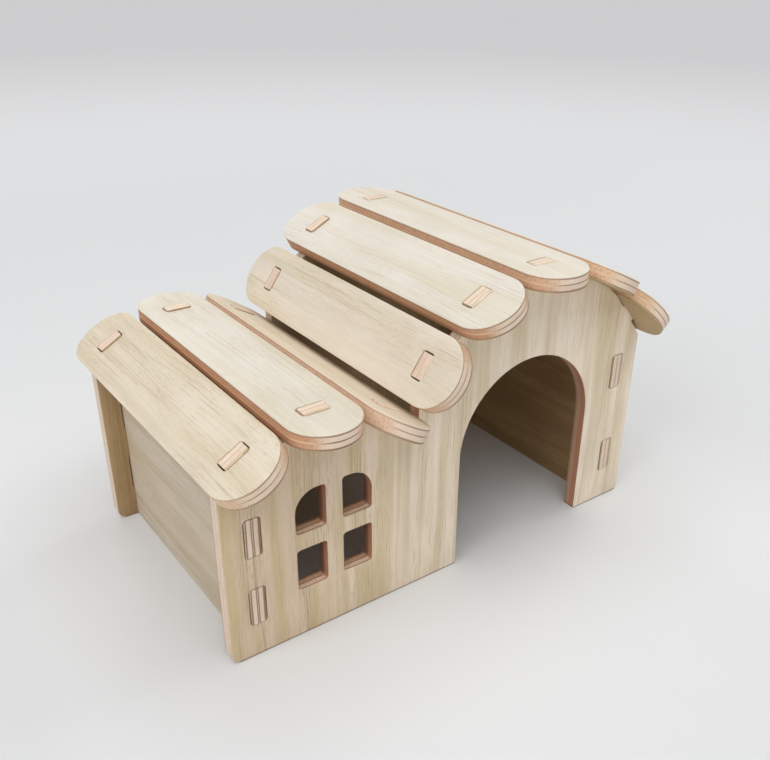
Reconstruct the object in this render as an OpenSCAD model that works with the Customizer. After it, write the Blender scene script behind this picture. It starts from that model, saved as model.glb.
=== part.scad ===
// Slot-together plywood house for a hamster.
//
// Two gable walls carry eight roof planks. The top of each wall is a chain of flat seats that
// are tangent to two circles, a small one over the low end and a larger one over the high end.
// From the middle of every seat a tab stands up through a slot in its plank. The two side walls
// stand between the gable walls, and their end tabs pass through slots to the outer faces.
//
// +X runs along the front wall to the high end, +Y from the front wall to the back wall, +Z up.
// The origin is on the table, at the middle of the house's bounding box.

/* [Sheet] */
// Thickness of the plywood
ply = 6; // [5:0.1:7]
// Play between a roof tab and each long side of its slot
roof_slot_play = 0.2; // [0.1:0.05:0.5]
// Play between a roof tab and each end of its slot
roof_slot_end_play = 0.6; // [0.4:0.1:1.2]
// Play between a side wall's tab and each long side of its slot
side_slot_play = 0.4; // [0.1:0.05:0.8]
// Play between a side wall's tab and each end of its slot
side_slot_end_play = 0.3; // [0.1:0.05:0.8]
// Corner radius left by the cutter in slots and window panes
cutter_r = 1.5; // [0.5:0.25:2.5]

/* [Gable walls] */
// Distance between the outer faces of the front and back walls
house_depth = 116.5; // [100:0.5:130]
// How far the blunted corners between two seats stand outside the circle of the seats
crest_blunt = 0.4; // [0.2:0.1:0.8]
// Radius of the bottom corner at the low end
low_corner_r = 4; // [1:0.5:6]
// Radius of the bottom corner at the high end
high_corner_r = 2; // [1:0.5:6]

/* [Low roof] */
// Height of the low roof's top
low_top = 91; // [80:0.5:110]
// Radius of the circle that the planks' top faces touch
low_r = 60; // [50:0.5:75]
// Gap between the lower edges of two low planks
low_gap = 0.9; // [0.3:0.1:3]
// How far the first plank's low edge reaches past the end of the wall
low_eave = 3.6; // [1:0.2:6]

/* [High roof] */
// Radius of the circle that the planks' top faces touch
high_r = 69; // [60:0.5:80]
// Gap between the lower edges of two high planks
high_gap = 2.2; // [0.3:0.1:3.5]
// Clearance between the last low plank and the step in the wall
step_gap = 0.6; // [0.3:0.1:2]
// How far the first high plank's low edge reaches past the step
step_lap = 0.4; // [0:0.1:1]
// Height of the first high plank's low edge above the last low plank
step_rise = 3.7; // [1:0.1:10]
// How far the wall runs on past the middle of its last seat
eave_run = 9; // [8:0.25:11]
// How much flatter the seat at the high end's eave is cut, in degrees
eave_ease = 3; // [1:0.5:4]
// How far the eave plank leans off its seat, in degrees
eave_lean = 3; // [0:0.5:4]

/* [Planks] */
// Width of a roof plank
plank_w = 28; // [24:0.5:31]
// How far a plank's rounded end reaches past the wall
overhang = 16.25; // [14:0.25:22]
// Width of a roof tab along its seat
roof_tab_w = 10; // [8:0.5:12]
// How far most roof tabs stand above their plank
tab_proud = 0.4; // [0:0.1:0.8]

/* [Doorway] */
// How far the middle of the doorway lies to the low side of the high roof's middle
door_shift = 3.3; // [0:0.1:5]
// Width of the doorway, and the diameter of its arch
door_w = 70; // [60:1:76]
// Height at which the arch begins
door_spring = 50; // [40:1:60]

/* [Window] */
// Left edge of the window, from the left edge of the wall
window_x = 28; // [22:0.5:34]
// Sill height of the window
window_z = 20.6; // [12:0.2:30]
// Width of one pane
pane_w = 12.7; // [9.7:0.5:15.2]
// Height of one pane
pane_h = 17.4; // [12.4:0.5:19.4]
// Width of the cross between the panes
bar_w = 6.8; // [4:0.2:8]
// Radius of the window's two upper outer corners
window_r = 9; // [3:0.5:9.5]

/* [Side walls] */
// Inset of a side wall's outer face from the end of the gable walls
side_inset = 8.5; // [6:0.25:11]
// Gap between the top of the low side wall and the plank over it
low_side_gap = 3.2; // [1:0.2:6]
// Gap between the top of the high side wall and the seat beside it
high_side_gap = 2.4; // [1:0.2:6]
// Height of one end tab
side_tab_h = 15.4; // [12:0.2:19]
// Height of the low side wall's lower tabs above the table
low_tab_z = 14.1; // [8:0.1:17]
// Height of the high side wall's lower tabs above the table
high_tab_z = 15.3; // [8:0.1:20]

/* [Hidden] */
$fn = 96;

// How far cutting shapes run past the faces they cut
past = 1;

// The planks are numbered from the low end on each roof, and lean outwards from its middle
low_planks = [1, 2, 3];
high_planks = [1, 2, 3, 4, 5];
low_middle = 2;
high_middle = 3;
eave_plank = 5;

// The high planks whose tabs end flush with them
flush_tabs = [1, 3];

// The seats lie one thickness inside the circles that the planks' top faces touch
low_seat_r = low_r - ply;
high_seat_r = high_r - ply;

// Angle from one plank to the next that leaves the gap between their lower edges
function pitch(seat_r, gap) =
    2 * (atan(plank_w / 2 / seat_r) + asin(gap / 2 / norm([seat_r, plank_w / 2])));
low_pitch = pitch(low_seat_r, low_gap);
high_pitch = pitch(high_seat_r, high_gap);

function low_angle(i) = (low_middle - i) * low_pitch;
function high_angle(i) = (high_middle - i) * high_pitch;
function seat_lean(i) = high_angle(i) + (i == eave_plank ? eave_ease : 0);

// Where a seat's middle lies, across and up from the middle of its circle
function seat_x(r, angle) = -r * sin(angle);
function seat_z(r, angle) = r * cos(angle);

// Across from a circle's middle to the outer edge of a plank at an angle, and up to it
function edge_x(r, angle) = r * sin(angle) + plank_w / 2 * cos(angle);
function edge_z(r, angle) = r * cos(angle) - plank_w / 2 * sin(angle);

// The walls are laid out from their low end: low roof, step, high roof, end of the wall
low_x = edge_x(low_r, low_pitch) - low_eave;
low_z = low_top - low_r;
step_x = low_x + edge_x(low_r, low_pitch) + step_gap;
high_x = step_x + edge_x(high_seat_r, high_angle(1)) - step_lap;
high_z = low_z + edge_z(low_r, low_pitch) + step_rise - edge_z(high_seat_r, high_angle(1));
high_top = high_z + high_r;
wall_w = high_x + seat_x(high_seat_r, high_angle(eave_plank)) + eave_run;
door_x = high_x - door_shift;

// A size larger than the whole house
ample = 2 * (wall_w + house_depth);

// Length of a plank, and size of the slot in it for a roof tab
plank_l = house_depth + 2 * overhang;
roof_slot_w = roof_tab_w + 2 * roof_slot_end_play;
roof_slot_h = ply + 2 * roof_slot_play;

// Side walls: room between the gable walls, the outer faces' places, and the heights that
// stay under the seats over those faces
side_gap = house_depth - 2 * ply;
left_side_x = side_inset;
right_side_x = wall_w - side_inset - ply;
low_side_h = low_z + seat_z(low_seat_r, low_angle(1)) - low_side_gap
    + (left_side_x - low_x - seat_x(low_seat_r, low_angle(1))) * tan(low_angle(1));
high_side_h = high_z + seat_z(high_seat_r, high_angle(eave_plank)) - high_side_gap
    + (eave_run - side_inset) * tan(seat_lean(eave_plank));

// The bounding box's middle: from the first plank's low edge to the eave plank's low edge
eave_tilt = -seat_lean(eave_plank) - eave_lean;
eave_x = high_x + seat_x(high_seat_r, high_angle(eave_plank))
    - plank_w / 2 * cos(seat_lean(eave_plank)) + plank_w * cos(eave_tilt) + ply * sin(eave_tilt);
mid_x = (eave_x - low_eave) / 2;
mid_y = house_depth / 2;

// Colours of the pale birch-like face and of the walls, which look a little warmer
plank_color = [0.93, 0.85, 0.71];
wall_color = [0.87, 0.77, 0.6];
side_color = [0.78, 0.7, 0.56];

// ---- flat shapes ----

// A rectangle with one corner at the origin and its four corners rounded to radius r
module rounded_rect(w, h, r) {
    translate([r, 0])
        square([w - 2 * r, h]);
    translate([0, r])
        square([w, h - 2 * r]);
    for (x = [r, w - r], y = [r, h - r])
        translate([x, y])
            circle(r);
}

// What is cut away to round a square corner at the origin that points down and to the left
module corner_waste(r) {
    difference() {
        translate([-past, -past])
            square(r + past);
        translate([r, r])
            circle(r);
    }
}

// One window pane, with its upper left corner rounded to the window's own radius
module eased_pane() {
    difference() {
        rounded_rect(pane_w, pane_h, cutter_r);
        translate([0, pane_h - window_r])
            square(window_r);
    }
    intersection() {
        translate([0, pane_h - window_r])
            square(window_r);
        translate([window_r, pane_h - window_r])
            circle(window_r);
    }
}

// The window's four panes round the cross between them
module window_panes() {
    for (row = [0, 1], column = [0, 1])
        translate([window_x + column * (pane_w + bar_w), window_z + row * (pane_h + bar_w)])
            if (row == 0)
                rounded_rect(pane_w, pane_h, cutter_r);
            else if (column == 0)
                eased_pane();
            else
                translate([pane_w, 0])
                    mirror([1, 0])
                        eased_pane();
}

// The doorway: straight sides up to the spring line, then half a circle
module doorway() {
    translate([door_x - door_w / 2, -past])
        square([door_w, door_spring + past]);
    translate([door_x, door_spring])
        circle(d = door_w, $fn = 180);
}

// Everything above the line that touches a circle at the given angle from its top
module above_line(x, z, r, angle, lean) {
    translate([x - r * sin(angle), z + r * cos(angle)])
        rotate(lean)
            translate([-ample, 0])
                square(2 * ample);
}

// What lies above the low wall top: its seats, and the blunted corners between them
module above_low_top() {
    for (i = low_planks)
        above_line(low_x, low_z, low_seat_r, low_angle(i), low_angle(i));
    for (half = [-0.5, 0.5])
        above_line(low_x, low_z, low_seat_r + crest_blunt, half * low_pitch, half * low_pitch);
}

// What lies above the high wall top
module above_high_top() {
    for (i = high_planks)
        above_line(high_x, high_z, high_seat_r, high_angle(i), seat_lean(i));
    for (half = [-1.5, -0.5, 0.5, 1.5])
        above_line(high_x, high_z, high_seat_r + crest_blunt, half * high_pitch,
            half * high_pitch);
}

// Outline of a gable wall without its tabs
module gable_outline() {
    difference() {
        square([step_x, high_top]);
        above_low_top();
        corner_waste(low_corner_r);
    }
    difference() {
        translate([step_x, 0])
            square([wall_w - step_x, high_top]);
        above_high_top();
        translate([wall_w, 0])
            mirror([1, 0])
                corner_waste(high_corner_r);
    }
}

// One roof tab standing on its seat, drawn from a little below the seat
module roof_tab(x, z, r, angle, lean, proud) {
    translate([x - r * sin(angle), z + r * cos(angle)])
        rotate(lean)
            translate([-roof_tab_w / 2, -past])
                square([roof_tab_w, past + ply + proud]);
}

module roof_tabs() {
    for (i = low_planks)
        roof_tab(low_x, low_z, low_seat_r, low_angle(i), low_angle(i), tab_proud);
    for (i = high_planks)
        roof_tab(high_x, high_z, high_seat_r, high_angle(i), seat_lean(i),
            len(search(i, flush_tabs)) > 0 ? 0 : tab_proud);
}

// The two slots in a gable wall for one side wall's end tabs
module end_tab_slots(side_x, tab_z, side_h) {
    for (z = [tab_z, side_h - tab_z - side_tab_h])
        translate([side_x - side_slot_play, z - side_slot_end_play])
            rounded_rect(ply + 2 * side_slot_play, side_tab_h + 2 * side_slot_end_play,
                cutter_r);
}

// A whole gable wall, flat
module gable_shape() {
    difference() {
        union() {
            gable_outline();
            roof_tabs();
        }
        end_tab_slots(left_side_x, low_tab_z, low_side_h);
        end_tab_slots(right_side_x, high_tab_z, high_side_h);
    }
}

// ---- solids ----

// Moves what is measured from the front wall's low bottom corner into the part's frame
module in_place() {
    translate([-mid_x, -mid_y, 0])
        children();
}

// Stands a flat shape up as a sheet whose front face is at the given depth
module standing(depth) {
    translate([0, depth + ply, 0])
        rotate([90, 0, 0])
            linear_extrude(ply)
                children();
}

// A side wall: a plain board between the gable walls, with two tabs at each end
module side_wall(side_x, side_h, tab_z) {
    translate([side_x, ply, 0])
        cube([ply, side_gap, side_h]);
    for (z = [tab_z, side_h - tab_z - side_tab_h])
        translate([side_x, 0, z])
            cube([ply, house_depth, side_tab_h]);
}

// A plank lying flat, its underside at z = 0 and its middle over the origin
module plank() {
    difference() {
        linear_extrude(ply)
            union() {
                square([plank_w, plank_l - plank_w], center = true);
                for (end = [-1, 1])
                    translate([0, end * (plank_l - plank_w) / 2])
                        circle(d = plank_w);
            }
        for (end = [-1, 1])
            translate([-roof_slot_w / 2, end * (house_depth - ply) / 2 - roof_slot_h / 2, -past])
                linear_extrude(ply + 2 * past)
                    rounded_rect(roof_slot_w, roof_slot_h, cutter_r);
    }
}

// A plank on the seat at the given angle of a circle
module seated_plank(x, z, r, angle, lean) {
    translate([x - r * sin(angle), house_depth / 2, z + r * cos(angle)])
        rotate([0, -lean, 0])
            children();
}

module low_plank(i) {
    color(plank_color)
        in_place()
            seated_plank(low_x, low_z, low_seat_r, low_angle(i), low_angle(i))
                plank();
}

module high_plank(i) {
    color(plank_color)
        in_place()
            seated_plank(high_x, high_z, high_seat_r, high_angle(i), seat_lean(i))
                plank();
}

// ---- the house's pieces ----

module front_wall() {
    color(wall_color)
        in_place()
            standing(0)
                difference() {
                    gable_shape();
                    doorway();
                    window_panes();
                }
}

module back_wall() {
    color(wall_color)
        in_place()
            standing(house_depth - ply)
                gable_shape();
}

module left_side_wall() {
    color(side_color)
        in_place()
            side_wall(left_side_x, low_side_h, low_tab_z);
}

module right_side_wall() {
    color(side_color)
        in_place()
            side_wall(right_side_x, high_side_h, high_tab_z);
}

module low_plank_1() {
    low_plank(1);
}

module low_plank_2() {
    low_plank(2);
}

module low_plank_3() {
    low_plank(3);
}

module high_plank_1() {
    high_plank(1);
}

module high_plank_2() {
    high_plank(2);
}

module high_plank_3() {
    high_plank(3);
}

module high_plank_4() {
    high_plank(4);
}

// The eave plank tips off its seat about its upper bottom edge
module high_plank_5() {
    color(plank_color)
        in_place()
            seated_plank(high_x, high_z, high_seat_r, high_angle(eave_plank),
                seat_lean(eave_plank))
                translate([-plank_w / 2, 0, 0])
                    rotate([0, -eave_lean, 0])
                        translate([plank_w / 2, 0, 0])
                            plank();
}

front_wall();
back_wall();
left_side_wall();
right_side_wall();
low_plank_1();
low_plank_2();
low_plank_3();
high_plank_1();
high_plank_2();
high_plank_3();
high_plank_4();
high_plank_5();
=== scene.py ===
"""Looks of a slot-together plywood hamster house.

Each sheet is cut again with eased edges, and gets its plies and grain; then light and camera.
"""

import math
import random

import bpy
import bmesh
from mathutils import Matrix, Vector


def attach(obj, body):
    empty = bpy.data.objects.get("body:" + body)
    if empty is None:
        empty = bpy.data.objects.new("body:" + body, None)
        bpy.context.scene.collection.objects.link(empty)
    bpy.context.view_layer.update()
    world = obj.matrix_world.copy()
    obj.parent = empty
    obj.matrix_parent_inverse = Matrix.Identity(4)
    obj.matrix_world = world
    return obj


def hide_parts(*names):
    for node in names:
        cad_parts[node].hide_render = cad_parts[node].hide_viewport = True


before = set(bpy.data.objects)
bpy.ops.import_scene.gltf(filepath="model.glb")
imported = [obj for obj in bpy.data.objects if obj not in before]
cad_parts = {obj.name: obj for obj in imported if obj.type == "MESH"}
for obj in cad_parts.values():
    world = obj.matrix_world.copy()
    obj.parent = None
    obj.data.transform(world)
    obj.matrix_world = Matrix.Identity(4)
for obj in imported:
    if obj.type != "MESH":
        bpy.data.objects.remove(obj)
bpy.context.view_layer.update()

MM = 0.001

# ---- sizes of the house, in millimetres from the front wall's low bottom corner ----

PLY = 6.0
MIDDLE = PLY / 2
DEPTH = 116.5
PLANK_W = 28.0
HALF_W = PLANK_W / 2
LOW_R, LOW_GAP, LOW_TOP, LOW_EAVE = 60.0, 0.9, 91.0, 3.6
HIGH_R, HIGH_GAP = 69.0, 2.2
STEP_GAP, STEP_LAP, STEP_RISE = 0.6, 0.4, 3.7
EAVE_RUN, EAVE_EASE, EAVE_LEAN = 9.0, 3.0, 3.0
SIDE_INSET = 8.5


def sin(a):
    """Sine of an angle in degrees."""
    return math.sin(math.radians(a))


def cos(a):
    """Cosine of an angle in degrees."""
    return math.cos(math.radians(a))


def pitch(seat_r, gap):
    """Angle between two planks that leaves the gap between their lower edges, in degrees."""
    seat = math.atan(HALF_W / seat_r)
    spare = math.asin(gap / 2 / math.hypot(seat_r, HALF_W))
    return math.degrees(2 * (seat + spare))


def edge_x(r, a):
    """How far to the side the low edge of a plank lies that touches a circle at angle a."""
    return r * sin(a) + HALF_W * cos(a)


def edge_z(r, a):
    """How far above the circle's middle that edge lies."""
    return r * cos(a) - HALF_W * sin(a)


HIGH_SEAT_R = HIGH_R - PLY
LOW_PITCH = pitch(LOW_R - PLY, LOW_GAP)
HIGH_PITCH = pitch(HIGH_SEAT_R, HIGH_GAP)
LOW_X = edge_x(LOW_R, LOW_PITCH) - LOW_EAVE
LOW_Z = LOW_TOP - LOW_R
STEP_X = LOW_X + edge_x(LOW_R, LOW_PITCH) + STEP_GAP
HIGH_X = STEP_X + edge_x(HIGH_SEAT_R, 2 * HIGH_PITCH) - STEP_LAP
HIGH_Z = LOW_Z + edge_z(LOW_R, LOW_PITCH) + STEP_RISE - edge_z(HIGH_SEAT_R, 2 * HIGH_PITCH)
EAVE_SEAT_X = HIGH_X + HIGH_SEAT_R * sin(2 * HIGH_PITCH)
EAVE_SEAT_Z = HIGH_Z + HIGH_SEAT_R * cos(2 * HIGH_PITCH)
WALL_W = EAVE_SEAT_X + EAVE_RUN

# The eave plank leans off its seat about its upper bottom edge, which is the tilt's pivot
EAVE_SEAT = 2 * HIGH_PITCH - EAVE_EASE
EAVE_TILT = EAVE_SEAT - EAVE_LEAN
PIVOT_X = EAVE_SEAT_X - HALF_W * cos(EAVE_SEAT)
PIVOT_Z = EAVE_SEAT_Z + HALF_W * sin(EAVE_SEAT)
EAVE_X = PIVOT_X + PLANK_W * cos(EAVE_TILT) + PLY * sin(EAVE_TILT)
MID = Vector(((EAVE_X - LOW_EAVE) / 2, DEPTH / 2, 0))


def in_part(x, y, z):
    """A point measured in millimetres from the wall's corner, in the part's frame in metres."""
    return (Vector((x, y, z)) - MID) * MM


# ---- the sheet that each piece is cut from: its outer face, and which way its grain runs ----

class Sheet:
    """A plywood sheet: a point on its outer face, then the grain, across and inward directions."""

    def __init__(self, at, grain, inward):
        self.at = Vector(at)
        self.grain = Vector(grain).normalized()
        self.inward = Vector(inward).normalized()
        self.across = self.inward.cross(self.grain)

    def flat(self, point):
        """A point of the part's frame as (along grain, across, depth), in millimetres."""
        p = (Vector(point) - self.at) / MM
        return Vector((p.dot(self.grain), p.dot(self.across), p.dot(self.inward)))

    def solid(self, g, a, d):
        """Back from (along grain, across, depth) in millimetres to the part's frame."""
        return self.at + (self.grain * g + self.across * a + self.inward * d) * MM


def plank_sheet(mid_x, mid_z, r, angle):
    """A plank whose top face touches the circle; a positive angle leans to the low end."""
    at = in_part(mid_x - r * sin(angle), DEPTH / 2, mid_z + r * cos(angle))
    return Sheet(at, (0, 1, 0), (sin(angle), 0, -cos(angle)))


def eave_sheet():
    """The plank at the high eave, which leans by less than its seat."""
    x = PIVOT_X + (HALF_W * cos(EAVE_TILT) + PLY * sin(EAVE_TILT))
    z = PIVOT_Z + (-HALF_W * sin(EAVE_TILT) + PLY * cos(EAVE_TILT))
    return Sheet(in_part(x, DEPTH / 2, z), (0, 1, 0), (-sin(EAVE_TILT), 0, -cos(EAVE_TILT)))


SHEETS = {
    "front_wall": Sheet(in_part(0, 0, 0), (0, 0, 1), (0, 1, 0)),
    "back_wall": Sheet(in_part(0, DEPTH, 0), (0, 0, 1), (0, -1, 0)),
    "left_side_wall": Sheet(in_part(SIDE_INSET, 0, 0), (0, 1, 0), (1, 0, 0)),
    "right_side_wall": Sheet(in_part(WALL_W - SIDE_INSET, 0, 0), (0, 1, 0), (-1, 0, 0)),
    "high_plank_5": eave_sheet(),
}
for i in (1, 2, 3):
    SHEETS[f"low_plank_{i}"] = plank_sheet(LOW_X, LOW_Z, LOW_R, (2 - i) * LOW_PITCH)
for i in (1, 2, 3, 4):
    SHEETS[f"high_plank_{i}"] = plank_sheet(HIGH_X, HIGH_Z, HIGH_R, (3 - i) * HIGH_PITCH)


# ---- meshes: each sheet again, with its sharp edges eased as a sanding sponge leaves them ----

EDGE_EASE = 0.22        # radius of an eased edge, mm
EASE_STEPS = 3
ON_FACE = 0.02          # how far from the outer face a point may lie that is on it, mm
SAME_POINT = 0.01       # points nearer than this are one, mm
MITRE_LIMIT = 0.35      # keeps a very sharp corner from running away when it is moved inwards
SHARP_ANGLE = 34        # degrees


def face_loops(node, sheet):
    """The outline and the holes of the node's outer face, as closed lists of flat points."""
    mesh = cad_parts[node].data
    points, edges = {}, {}
    mesh.calc_loop_triangles()
    for tri in mesh.loop_triangles:
        corners = [sheet.flat(mesh.vertices[v].co) for v in tri.vertices]
        if max(abs(c.z) for c in corners) > ON_FACE:
            continue
        keys = [(round(c.x, 3), round(c.y, 3)) for c in corners]
        for key, corner in zip(keys, corners):
            points.setdefault(key, corner)
        # an edge that two triangles share, one each way, is inside the face
        for edge in zip(keys, keys[1:] + keys[:1]):
            if edge[::-1] in edges:
                del edges[edge[::-1]]
            else:
                edges[edge] = True
    follow = {}
    for start, end in edges:
        follow.setdefault(start, []).append(end)
    loops = []
    while follow:
        loop, here = [], next(iter(follow))
        while here in follow:
            loop.append(points[here].xy)
            onward = follow[here].pop()
            if not follow[here]:
                del follow[here]
            here = onward
        loops.append([p for k, p in enumerate(loop) if (p - loop[k - 1]).length > SAME_POINT])
    return loops


def turned_area(loop):
    """Twice the area inside the loop, positive where it turns to the left."""
    return sum(p.x * q.y - q.x * p.y for p, q in zip(loop, loop[1:] + loop[:1]))


def left_of(step):
    """The direction to the left of a step."""
    way = step.normalized()
    return Vector((-way.y, way.x))


def pulled_in(loop, d):
    """The loop moved into the material by d, which lies to the left of its direction."""
    out = []
    for before, here, after in zip(loop[-1:] + loop[:-1], loop, loop[1:] + loop[:1]):
        n1, n2 = left_of(here - before), left_of(after - here)
        out.append(here + (n1 + n2) * (d / max(MITRE_LIMIT, 1 + n1.dot(n2))))
    return out


def eased_edge():
    """Round the edge of a sheet, from its outer face to its inner one, as (inset, depth)."""
    quarter = []
    for k in range(EASE_STEPS + 1):
        a = math.pi / 2 * k / EASE_STEPS
        quarter.append((EDGE_EASE * (1 - math.sin(a)), EDGE_EASE * (1 - math.cos(a))))
    return quarter + [(inset, PLY - depth) for inset, depth in reversed(quarter)]


def eased_sheet(node):
    """A new piece in the node's place, cut from the same outline with its edges eased."""
    sheet = SHEETS[node]
    loops = face_loops(node, sheet)
    outline = max(loops, key=lambda loop: abs(turned_area(loop)))
    if turned_area(outline) < 0:
        loops = [loop[::-1] for loop in loops]
    bm = bmesh.new()
    front, back = [], []
    for loop in loops:
        rings = []
        for inset, depth in eased_edge():
            rings.append([bm.verts.new(sheet.solid(p.x, p.y, depth))
                          for p in pulled_in(loop, inset)])
        pairs = [(k, (k + 1) % len(loop)) for k in range(len(loop))]
        for lower, upper in zip(rings, rings[1:]):
            for k, m in pairs:
                bm.faces.new((lower[k], lower[m], upper[m], upper[k]))
        front += [bm.edges.get((rings[0][k], rings[0][m])) for k, m in pairs]
        back += [bm.edges.get((rings[-1][k], rings[-1][m])) for k, m in pairs]
    for edges in (front, back):
        bmesh.ops.triangle_fill(bm, use_beauty=True, use_dissolve=False, edges=edges)
    bmesh.ops.recalc_face_normals(bm, faces=bm.faces)
    mesh = bpy.data.meshes.new(node + "_eased")
    bm.to_mesh(mesh)
    bm.free()
    for poly in mesh.polygons:
        poly.use_smooth = True
    mesh.set_sharp_from_angle(angle=math.radians(SHARP_ANGLE))
    piece = bpy.data.objects.new(node + "_eased", mesh)
    bpy.context.scene.collection.objects.link(piece)
    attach(piece, "root")
    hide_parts(node)
    return piece


# ---- shader tools ----

def tone(r, g, b):
    """A colour as a paint chart gives it, 0 to 255, turned into the linear colour of a shader."""
    def linear(c):
        c /= 255
        return c / 12.92 if c <= 0.04045 else ((c + 0.055) / 1.055) ** 2.4
    return (linear(r), linear(g), linear(b), 1.0)


class Wire:
    """A socket's value: Python arithmetic on it adds Math nodes."""

    def __init__(self, look, socket):
        self.look = look
        self.socket = socket

    def maths(self, operation, a, b):
        return self.look.node("Math", {"operation": operation}, {0: a, 1: b})

    def __add__(self, other):
        return self.maths("ADD", self, other)

    def __radd__(self, other):
        return self.maths("ADD", other, self)

    def __sub__(self, other):
        return self.maths("SUBTRACT", self, other)

    def __rsub__(self, other):
        return self.maths("SUBTRACT", other, self)

    def __mul__(self, other):
        return self.maths("MULTIPLY", self, other)

    def __rmul__(self, other):
        return self.maths("MULTIPLY", other, self)

    def __abs__(self):
        return self.look.node("Math", {"operation": "ABSOLUTE"}, {0: self})


class Look:
    """The shader nodes of a new material, or of the world, under construction."""

    def __init__(self, owner):
        self.owner = owner
        owner.use_nodes = True
        self.tree = owner.node_tree
        self.tree.nodes.clear()

    def node(self, kind, settings, sockets, out=0):
        """Adds one node: its settings first, then the values or links of its sockets."""
        made = self.tree.nodes.new("ShaderNode" + kind)
        for key, value in settings.items():
            setattr(made, key, value)
        for key, value in sockets.items():
            if isinstance(value, Wire):
                self.tree.links.new(value.socket, made.inputs[key])
            else:
                made.inputs[key].default_value = value
        return Wire(self, made.outputs[out]) if made.outputs else made

    def noise(self, x, y, z, detail, roughness=0.5):
        """Noise that changes about once per unit of each coordinate."""
        place = self.node("CombineXYZ", {}, {0: x, 1: y, 2: z})
        return self.node("TexNoise", {}, {"Vector": place, "Scale": 1.0, "Detail": detail,
                                          "Roughness": roughness})

    def ease(self, value, low, high, start=0.0, end=1.0):
        """Smooth step from start, at low, to end, at high."""
        return self.node("MapRange", {"interpolation_type": "SMOOTHSTEP"},
                         {"Value": value, "From Min": low, "From Max": high,
                          "To Min": start, "To Max": end})

    def between(self, value, low, high):
        """1 from low to high, easing to 0 over one unit outside them."""
        half = (high - low) / 2
        return self.ease(abs(value - (low + high) / 2), half, half + 1.0, 1.0, 0.0)

    def mix(self, factor, a, b):
        """Colour a at factor 0, colour b at factor 1."""
        return self.node("Mix", {"data_type": "RGBA", "clamp_factor": True},
                         {0: factor, 6: a, 7: b}, out=2)

    def dot(self, vector, direction):
        return self.node("VectorMath", {"operation": "DOT_PRODUCT"},
                         {0: vector, 1: tuple(direction)}, out=1)

    def seen(self):
        """1 for what the camera sees, straight on, in gloss or through glass, and 0 for light."""
        rays = ("Is Camera Ray", "Is Glossy Ray", "Is Transmission Ray")
        straight, glossy, through = (self.node("LightPath", {}, {}, out=ray) for ray in rays)
        return straight + glossy + through


# ---- the veneers' grain ----

class Mark:
    """One kind of mark that growth leaves in a veneer: noise drawn out along the grain.

    along and across say how fast it changes per millimetre, and apart keeps it apart from the
    other marks. It shows from the first of its levels and is full at the second. strength is
    how far it takes the colour to the line's, and sunk how deep it lies.
    """

    def __init__(self, along, across, apart, detail, roughness, levels, strength=1.0, sunk=0.0):
        self.along = along
        self.across = across
        self.apart = apart
        self.detail = detail
        self.roughness = roughness
        self.levels = levels
        self.strength = strength
        self.sunk = sunk

    def on(self, look, g, a, least=0.0):
        """The mark over a face, from least where it doesn't show to 1."""
        noise = look.noise(g * self.along, a * self.across, self.apart, self.detail,
                           self.roughness)
        return look.ease(noise, *self.levels, least)


BAND = Mark(0.007, 0.13, 3.1, 2.0, 0.5, (0.40, 0.62))
CLUSTER = Mark(0.012, 0.09, 9.4, 1.0, 0.5, (0.36, 0.62))
CLOUD = Mark(0.03, 0.05, 2.6, 2.0, 0.5, (0.35, 0.70), strength=0.12)
THREAD = Mark(0.018, 1.15, 7.7, 3.0, 0.6, (0.55, 0.66), strength=0.40, sunk=0.5)
HAIR = Mark(0.06, 2.6, 1.3, 2.0, 0.6, (0.54, 0.68), strength=0.42, sunk=0.5)
PORE = Mark(0.22, 3.4, 5.9, 1.0, 0.5, (0.58, 0.72), strength=0.40, sunk=0.7)
OUTSIDE_CLUSTERS = 0.35         # how strong the thin marks are between their clusters
DRIFT = (0.011, 0.03)           # how fast the grain bends, along it and across it, per mm
FAR_SIDE = (20, 95)             # where a sheet's far ground starts and is full, mm
FAR_BANDS, FAR_MARKS = 0.35, 0.4    # how much fainter bands and thin marks are there


class Veneer:
    """One face's veneer: its ground, the broad bands in it, its dark lines, and its figure.

    bands and lines say how strong they are, and figure how far the grain bends, in millimetres.
    far is the ground's colour towards the far side of the sheet, where it is paler and plainer.
    """

    def __init__(self, ground, band, line, bands=0.7, figure=12.0, lines=0.8, far=None):
        self.ground = tone(*ground)
        self.far = tone(*far) if far else None
        self.band = tone(*band)
        self.line = tone(*line)
        self.bands = bands
        self.figure = figure
        self.lines = lines


def grain(look, g, a, face, back, side, across):
    """The colour of grained veneer, face at side 0 and back at side 1, and its relief."""
    drift = look.noise(g * DRIFT[0], a * DRIFT[1], 0.0, 2.0) - 0.5
    bent = a + drift * face.figure
    faraway, ground = 0.0, face.ground
    if face.far:
        faraway = look.ease(across, *FAR_SIDE)
        ground = look.mix(faraway, ground, face.far)
    ground = look.mix(side, ground, back.ground)
    line = look.mix(side, face.line, back.line)
    banded = BAND.on(look, g, bent) * face.bands * (1 - FAR_BANDS * faraway)
    color = look.mix(banded, ground, look.mix(side, face.band, back.band))
    color = look.mix(CLOUD.on(look, g, bent) * CLOUD.strength, color, line)
    # long dark threads that come in clusters, then hairs and short pores
    clusters = CLUSTER.on(look, g, bent, OUTSIDE_CLUSTERS)
    marked = face.lines * clusters * (1 - FAR_MARKS * faraway)
    relief = 0.0
    for mark in (THREAD, HAIR, PORE):
        shown = mark.on(look, g, bent)
        color = look.mix(shown * marked * mark.strength, color, line)
        relief = relief + shown * mark.sunk
    return color, relief


# ---- the plywood: two veneers, two cross plies, and glue lines between them ----

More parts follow.
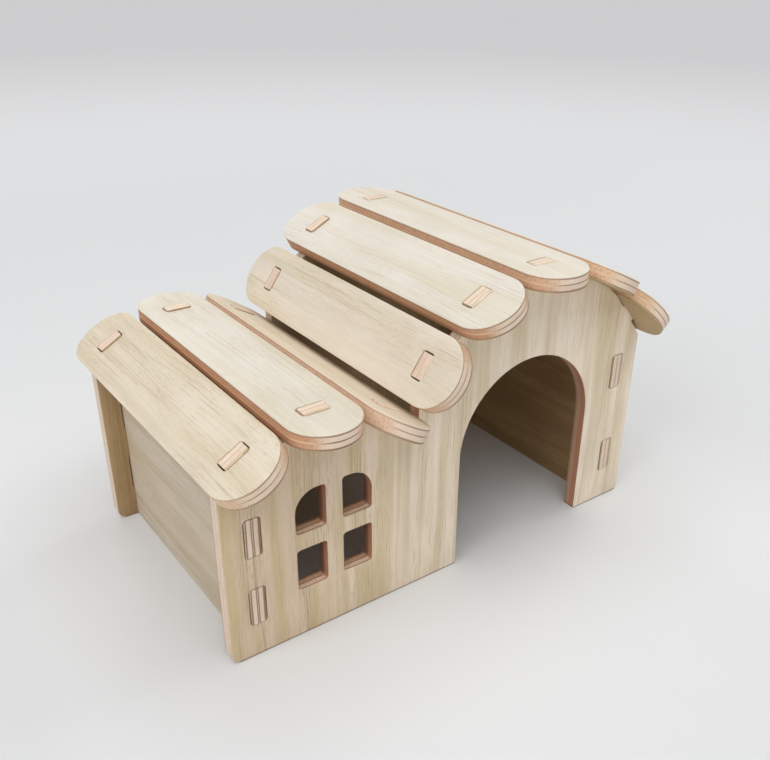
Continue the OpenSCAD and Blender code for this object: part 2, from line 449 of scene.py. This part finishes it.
# Colours inside the sheet: glue, cross plies cut along their fibres, and sawn pores
GLUE = tone(140, 86, 66)
GLUE_LIT = tone(248, 218, 184)
CORE_LONG = tone(238, 220, 198)
CORE_SHADE = tone(214, 180, 150)
SAWN = tone(172, 126, 92)
# painted shade for the contact shadow where a standing wall meets the floor
FOOT_PAINTED_SHADE = tone(112, 84, 62)

# Walls that the cutter has browned: the outer and inner half of upright ones, then of level ones
WINDOW_BROWNS = ((tone(190, 128, 94), tone(136, 94, 76)),
                 (tone(250, 218, 190), tone(236, 190, 152)))
DOOR_BROWNS = ((tone(178, 116, 82), tone(190, 148, 118)),
               (tone(250, 218, 190), tone(212, 160, 124)))
BROWNED, BROWNED_GLUE = 0.9, 0.7    # how full the browning is, and how strong its glue lines are
BROWNED_SAW, BROWNED_SAW_STRENGTH = (0.46, 0.68), 0.35      # its saw marks: levels, strength

# Distances in the sheet's thickness, in millimetres
SIDE_TURN, BROWN_TURN = 0.1, 0.3    # how far round the middle the two halves' looks blend
VENEER_END = (0.38, 0.55)       # from a face, where the core starts to show and where it is full
GLUE_DEPTH = 0.62               # of the outer glue lines
OUTER_LINE = (0.14, 0.40)       # half the width of a glue line: its dark part, and all of it
MIDDLE_LINE = (0.12, 0.36)
OUTER_FAINTER, MIDDLE_FAINTER = 0.45, 0.3   # how much fainter they are on a sawn side
GLUE_STRAY = 0.3                # how far they stray between them
STRAY_RATE, STRAY_APART = 0.12, 2.2         # how fast per millimetre, and its place in the noise
FOOT_HEIGHT = (0.25, 0.9)       # above the floor, where the painted contact shade at the foot starts to fade and ends
FOOT_SHADE = 0.75

SIDEWAYS = (0.03, 0.62)         # squared facing at which an edge starts and ends turning sawn
APART = 400                     # how far the noise of a sheet may be moved either way, mm
BACK_APART = (57.0, 31.0)       # how far the noise of its inner face is moved from the outer's
SAW_RELIEF = (0.4, 0.7)         # levels of the saw's noise where its relief starts and is full
BUMP_STRENGTH, BUMP_DEPTH = 0.3, 0.00007    # the depth is in metres
SMOOTH, ROUGH = 0.56, 0.68      # roughness between the marks, and where they are deep
DEEP = 0.8                      # relief that counts as deep
WOOD_SPECULAR = 0.3


class Fleck:
    """One kind of fleck in the core, seen on the cut edges: noise that changes in depth too.

    spread and through say how fast it changes in the sheet's plane and through it, per
    millimetre. It shows from the first of its levels and is full at the second. long and sawn
    say how far it takes the colour to its own, on edges along the fibres and on sawn sides.
    """

    def __init__(self, color, spread, through, detail, roughness, levels, long, sawn):
        self.color = color
        self.spread = spread
        self.through = through
        self.detail = detail
        self.roughness = roughness
        self.levels = levels
        self.long = long
        self.sawn = sawn

    def noise(self, look, g, a, depth):
        return look.noise(g * self.spread, a * self.spread, depth * self.through, self.detail,
                          self.roughness)

    def over(self, look, color, noise, sawn_side):
        """The colour with the flecks that this noise gives over it."""
        strength = self.long + (self.sawn - self.long) * sawn_side
        return look.mix(look.ease(noise, *self.levels) * strength, color, self.color)


SAW = Fleck(SAWN, 1.7, 0.8, 3.0, 0.7, (0.46, 0.66), 0.12, 0.55)
FIBRE = Fleck(CORE_SHADE, 0.12, 3.2, 2.0, 0.6, (0.48, 0.75), 0.30, 0.15)
BLOTCH = Fleck(CORE_SHADE, 0.09, 0.4, 2.0, 0.5, (0.42, 0.70), 0.30, 0.30)


class Cut:
    """The look of a piece's cut edges.

    end is the colour of the edges that face across the grain, sides how rough and brown those
    are, glue how strong the glue lines are, and split how far from the middle the two middle
    glue lines lie, in millimetres.
    """

    def __init__(self, end, sides=1.0, glue=0.8, split=0.0):
        self.end = tone(*end)
        self.sides = sides
        self.glue = glue
        self.split = split


def plywood(name, sheet, seed, face, back, cut, seared=(), shaded_foot=False):
    """Plywood laid out in a sheet's own directions: veneers, cross plies and glue lines.

    seared lists the openings whose walls the cutter has browned, as (low, high) along the grain
    and across it, and their browns. A sheet that stands gets painted shade along its foot, for the
    shadow where it meets the floor.
    """
    look = Look(bpy.data.materials.new(name))
    place = look.node("TexCoord", {}, {}, out="Object")
    from_face = look.node("VectorMath", {"operation": "SUBTRACT"}, {0: place, 1: tuple(sheet.at)})
    along = look.dot(from_face, sheet.grain / MM)
    across = look.dot(from_face, sheet.across / MM)
    depth = look.dot(from_face, sheet.inward / MM)
    side = look.ease(depth, MIDDLE - SIDE_TURN, MIDDLE + SIDE_TURN)
    chance = random.Random(seed)
    g = along + side * BACK_APART[0] + chance.uniform(-APART, APART)
    a = across + side * BACK_APART[1] + chance.uniform(-APART, APART)
    veneer, relief = grain(look, g, a, face, back, side, across)

    # the cut edge: cross plies show their fibres towards the ends, and their pores at the sides
    facing = look.dot(look.node("NewGeometry", {}, {}, out="Normal"), sheet.across)
    sideways = look.ease(facing * facing, *SIDEWAYS)
    end_grain = sideways * cut.sides
    saw, fibre, blotch = (fleck.noise(look, g, a, depth) for fleck in (SAW, FIBRE, BLOTCH))
    core = look.mix(sideways, CORE_LONG, cut.end)
    core = SAW.over(look, core, saw, end_grain)
    core = FIBRE.over(look, core, fibre, end_grain)
    core = BLOTCH.over(look, core, blotch, end_grain)
    browned = 0.0
    for (g_low, g_high), (a_low, a_high), (upright, level) in seared:
        inner = look.ease(depth, MIDDLE - BROWN_TURN, MIDDLE + BROWN_TURN)
        burnt = look.mix(sideways, look.mix(inner, *level), look.mix(inner, *upright))
        burnt = look.mix(look.ease(saw, *BROWNED_SAW) * BROWNED_SAW_STRENGTH, burnt, SAWN)
        here = look.between(along, g_low, g_high) * look.between(across, a_low, a_high)
        core = look.mix(here * BROWNED, core, burnt)
        browned = browned + here
    from_middle = abs(depth - MIDDLE)
    inside = look.ease(from_middle, MIDDLE - VENEER_END[1], MIDDLE - VENEER_END[0], 1, 0)
    color = look.mix(inside, veneer, core)

    # glue lines under both veneers, and the middle ones, which are the lighter on a sawn side
    stray = look.noise(g * STRAY_RATE, a * STRAY_RATE, STRAY_APART, 2.0)
    stray = (stray - 0.5) * GLUE_STRAY
    to_outer = abs(from_middle - (MIDDLE - GLUE_DEPTH) + stray)
    to_middle = abs(abs(depth - MIDDLE + stray) - cut.split)
    outer_line = look.ease(to_outer, *OUTER_LINE, 1, 0)
    middle_line = look.ease(to_middle, *MIDDLE_LINE, 1, 0)
    glue = cut.glue + (BROWNED_GLUE - cut.glue) * browned
    color = look.mix(outer_line * (1 - OUTER_FAINTER * sideways) * glue, color, GLUE)
    color = look.mix(middle_line * (1 - MIDDLE_FAINTER * sideways) * glue, color,
                     look.mix(end_grain, GLUE, GLUE_LIT))
    # painted contact shade along a standing wall's foot, darkest at the floor
    if shaded_foot:
        color = look.mix(look.ease(along, *FOOT_HEIGHT, FOOT_SHADE, 0.0), color, FOOT_PAINTED_SHADE)

    rough_cut = look.ease(saw, *SAW_RELIEF) * inside
    bump = look.node("Bump", {}, {"Strength": BUMP_STRENGTH, "Distance": BUMP_DEPTH,
                                  "Height": 1 - relief - rough_cut})
    shader = look.node("BsdfPrincipled", {}, {
        "Base Color": color, "Roughness": look.ease(relief, 0.0, DEEP, SMOOTH, ROUGH),
        "Normal": bump, "Specular IOR Level": WOOD_SPECULAR})
    look.node("OutputMaterial", {}, {"Surface": shader})
    return look.owner


# ---- the pieces ----

# The outer faces; their order gives each sheet its seed
VENEERS = {
    "front_wall": Veneer((230, 208, 182), (212, 191, 146), (156, 126, 86), 0.8, 7, 1.1,
                         far=(254, 239, 218)),
    "back_wall": Veneer((238, 220, 196), (218, 198, 156), (166, 138, 98), 0.75, 7, 0.95),
    "left_side_wall": Veneer((211, 196, 176), (196, 180, 151), (154, 134, 106), 0.75, 6, 0.9),
    "right_side_wall": Veneer((214, 198, 174), (200, 181, 148), (158, 136, 104), 0.7, 6, 0.9),
    "low_plank_1": Veneer((228, 216, 196), (214, 199, 168), (166, 140, 102), 0.6, 6, 0.9),
    "low_plank_2": Veneer((227, 220, 207), (219, 209, 184), (176, 156, 122), 0.55, 5, 0.7),
    "low_plank_3": Veneer((234, 220, 198), (222, 206, 176), (180, 155, 118), 0.6, 5, 0.8),
    "high_plank_1": Veneer((230, 219, 203), (218, 205, 177), (174, 152, 114), 0.6, 6, 0.8),
    "high_plank_2": Veneer((230, 223, 212), (223, 214, 190), (178, 160, 126), 0.6, 5, 0.65),
    "high_plank_3": Veneer((230, 223, 211), (222, 212, 189), (182, 164, 130), 0.55, 5, 0.65),
    "high_plank_4": Veneer((234, 222, 202), (224, 208, 180), (184, 160, 122), 0.6, 5, 0.8),
    "high_plank_5": Veneer((232, 220, 200), (222, 206, 178), (182, 158, 120), 0.6, 5, 0.8),
}
# The inner faces are a browner veneer than the outer ones; the side walls' inner faces are darker
# still, as painted shade for the dim inside of the house
BACKS = {
    "wall_ply": Veneer((186, 158, 119), (173, 145, 105), (129, 102, 69)),
    # the side walls' inner veneer: browner, and darker again as painted shade for the house's dark
    # inside
    "side_ply": Veneer((180, 150, 106), (162, 130, 90), (112, 82, 50), 0.7, 6, 1.0),
    "plank_ply": Veneer((193, 171, 133), (180, 156, 116), (140, 115, 81)),
}
SLOTS = {"front_wall": "wall_ply", "back_wall": "wall_ply",
         "left_side_wall": "side_ply", "right_side_wall": "side_ply"}
CUTS = {
    "front_wall": Cut((232, 212, 194), 0.25, 0.35),
    "back_wall": Cut((232, 212, 194), 0.25, 0.35),
    "left_side_wall": Cut((238, 224, 204), 0.2, 0.8, 0.34),
    "right_side_wall": Cut((242, 226, 200), 0.2, 0.5),
    "low_plank_1": Cut((226, 196, 166), 0.7, 0.7),
    "low_plank_2": Cut((200, 156, 122), 1.0, 0.85),
    "low_plank_3": Cut((224, 192, 164), 0.8, 0.7),
    "high_plank_1": Cut((222, 190, 160), 0.9, 0.7),
    "high_plank_2": Cut((202, 158, 124), 1.0, 0.8),
    "high_plank_3": Cut((216, 178, 146), 1.0, 0.8),
    "high_plank_4": Cut((226, 190, 154), 0.9, 0.7),
    "high_plank_5": Cut((222, 188, 150), 0.9, 0.7),
}
# Browned walls: up and down the wall, along it from the low end, and their browns
WINDOW = ((16.0, 66.0), (24.0, 66.0), WINDOW_BROWNS)
DOORWAY = ((-2.0, 90.0), (98.0, 175.0), DOOR_BROWNS)
STEP = ((62.0, 84.0), (STEP_X - 3.0, STEP_X + 1.0), DOOR_BROWNS)
SEARED = {"front_wall": (WINDOW, DOORWAY, STEP), "back_wall": (STEP,)}
FIRST_SEED = 11

for seed, (node, face) in enumerate(VENEERS.items(), FIRST_SEED):
    slot = SLOTS.get(node, "plank_ply")
    piece = eased_sheet(node)
    piece.data.materials.append(
        plywood(node + "_ply", SHEETS[node], seed, face, BACKS[slot], CUTS[node],
                SEARED.get(node, ()), shaded_foot=slot == "wall_ply"))


# ---- floor, backdrop and light; places and sizes in metres, power in watts ----

NEAR_GREY = tone(226, 227, 228)
FAR_GREY = tone(206, 205, 207)
PAPER_ROUGHNESS, PAPER_SPECULAR = 0.9, 0.1
FLOOR_RADIUS, FLOOR_SIDES = 6.0, 96
SHADOW_ENDS = (0.3, 1.0)        # where the lit paper gives way to an even grey
GREY_TURNS = (0.6, 2.0)         # where that grey goes from near to far
AIR_TINT, AIR_STRENGTH = (0.97, 0.98, 1.0, 1.0), 0.03
SOFTBOXES = {
    "overhead_softbox": ((0.0, 0.0, 1.5), 1.5, 9.6),
    "front_softbox": ((0.2, -1.1, 1.7), 1.0, 3.3),
    "front_left_softbox": ((-0.7, -1.0, 1.6), 1.0, 7.4),
    "front_right_softbox": ((1.0, -0.6, 1.6), 1.0, 2.3),
    "right_softbox": ((1.5, 0.1, 1.0), 1.2, 10.5),
    "left_softbox": ((-1.5, -0.2, 1.0), 1.2, 14.6),
    "back_softbox": ((0.2, 1.6, 0.5), 0.6, 5.0),
    "low_front_softbox": ((-0.1, -1.6, 0.3), 0.5, 2.8),
}


def paper():
    """Pale studio paper that holds the house's shadow, and far off turns the air's even grey."""
    look = Look(bpy.data.materials.new("studio_paper"))
    place = look.node("TexCoord", {}, {}, out="Object")
    away = look.node("VectorMath", {"operation": "LENGTH"}, {0: place}, out="Value")
    near = look.node("BsdfPrincipled", {}, {"Base Color": NEAR_GREY,
                                            "Roughness": PAPER_ROUGHNESS,
                                            "Specular IOR Level": PAPER_SPECULAR})
    glow = look.mix(look.ease(away, *GREY_TURNS), NEAR_GREY, FAR_GREY)
    far = look.node("Emission", {}, {"Color": glow, "Strength": 1.0})
    shader = look.node("MixShader", {}, {0: look.ease(away, *SHADOW_ENDS) * look.seen(),
                                         1: near, 2: far})
    look.node("OutputMaterial", {}, {"Surface": shader})
    return look.owner


def studio_floor():
    """A wide round floor."""
    bm = bmesh.new()
    rim = [360 * k / FLOOR_SIDES for k in range(FLOOR_SIDES)]
    bm.faces.new([bm.verts.new((FLOOR_RADIUS * cos(a), FLOOR_RADIUS * sin(a), 0)) for a in rim])
    mesh = bpy.data.meshes.new("studio_floor")
    bm.to_mesh(mesh)
    bm.free()
    floor = bpy.data.objects.new("studio_floor", mesh)
    bpy.context.scene.collection.objects.link(floor)
    floor.data.materials.append(paper())


def softbox(name, at, size, power):
    """A large square lamp that faces the house."""
    data = bpy.data.lights.new(name, "AREA")
    data.shape = "SQUARE"
    data.size = size
    data.energy = power
    lamp = bpy.data.objects.new(name, data)
    lamp.location = at
    lamp.visible_camera = False
    lamp.rotation_euler = (-Vector(at)).to_track_quat("-Z", "Y").to_euler()
    bpy.context.scene.collection.objects.link(lamp)


def studio_air():
    """Weak even light from all round, which the camera and gloss see as the far floor's grey."""
    world = bpy.data.worlds.new("studio_air")
    look = Look(world)
    light = look.node("Background", {}, {"Color": AIR_TINT, "Strength": AIR_STRENGTH})
    grey = look.node("Background", {}, {"Color": FAR_GREY, "Strength": 1.0})
    shader = look.node("MixShader", {}, {0: look.seen(), 1: light, 2: grey})
    look.node("OutputWorld", {}, {"Surface": shader})
    bpy.context.scene.world = world


studio_floor()
for name, (at, size, power) in SOFTBOXES.items():
    softbox(name, at, size, power)
studio_air()
bpy.context.scene.view_settings.view_transform = "Standard"


# ---- camera, at the photograph's place ----

IMAGE_W, IMAGE_H = 770, 760
FOCAL_PX, CENTRE_X, CENTRE_Y = 888.985, 405.68, 411.05
YAW, TILT, ROLL = 36.792, 28.25, 0.9
EYE = in_part(-93.295, -224.91, 231.136)
SENSOR = 36.0

ahead = Vector((sin(YAW) * cos(TILT), cos(YAW) * cos(TILT), -sin(TILT)))
right = Vector((cos(YAW), -sin(YAW), 0))
up = right.cross(ahead)
right, up = right * cos(ROLL) + up * sin(ROLL), up * cos(ROLL) - right * sin(ROLL)
lens = bpy.data.cameras.new("camera")
lens.sensor_fit = "HORIZONTAL"
lens.sensor_width = SENSOR
lens.lens = FOCAL_PX / IMAGE_W * SENSOR
lens.shift_x = (IMAGE_W / 2 - CENTRE_X) / IMAGE_W
lens.shift_y = (CENTRE_Y - IMAGE_H / 2) / IMAGE_W
lens.clip_start = 0.01
lens.clip_end = 20.0
camera = bpy.data.objects.new("camera", lens)
pose = Matrix((right, up, -ahead)).transposed().to_4x4()
pose.translation = EYE
camera.matrix_world = pose
bpy.context.scene.collection.objects.link(camera)
bpy.context.scene.camera = camera
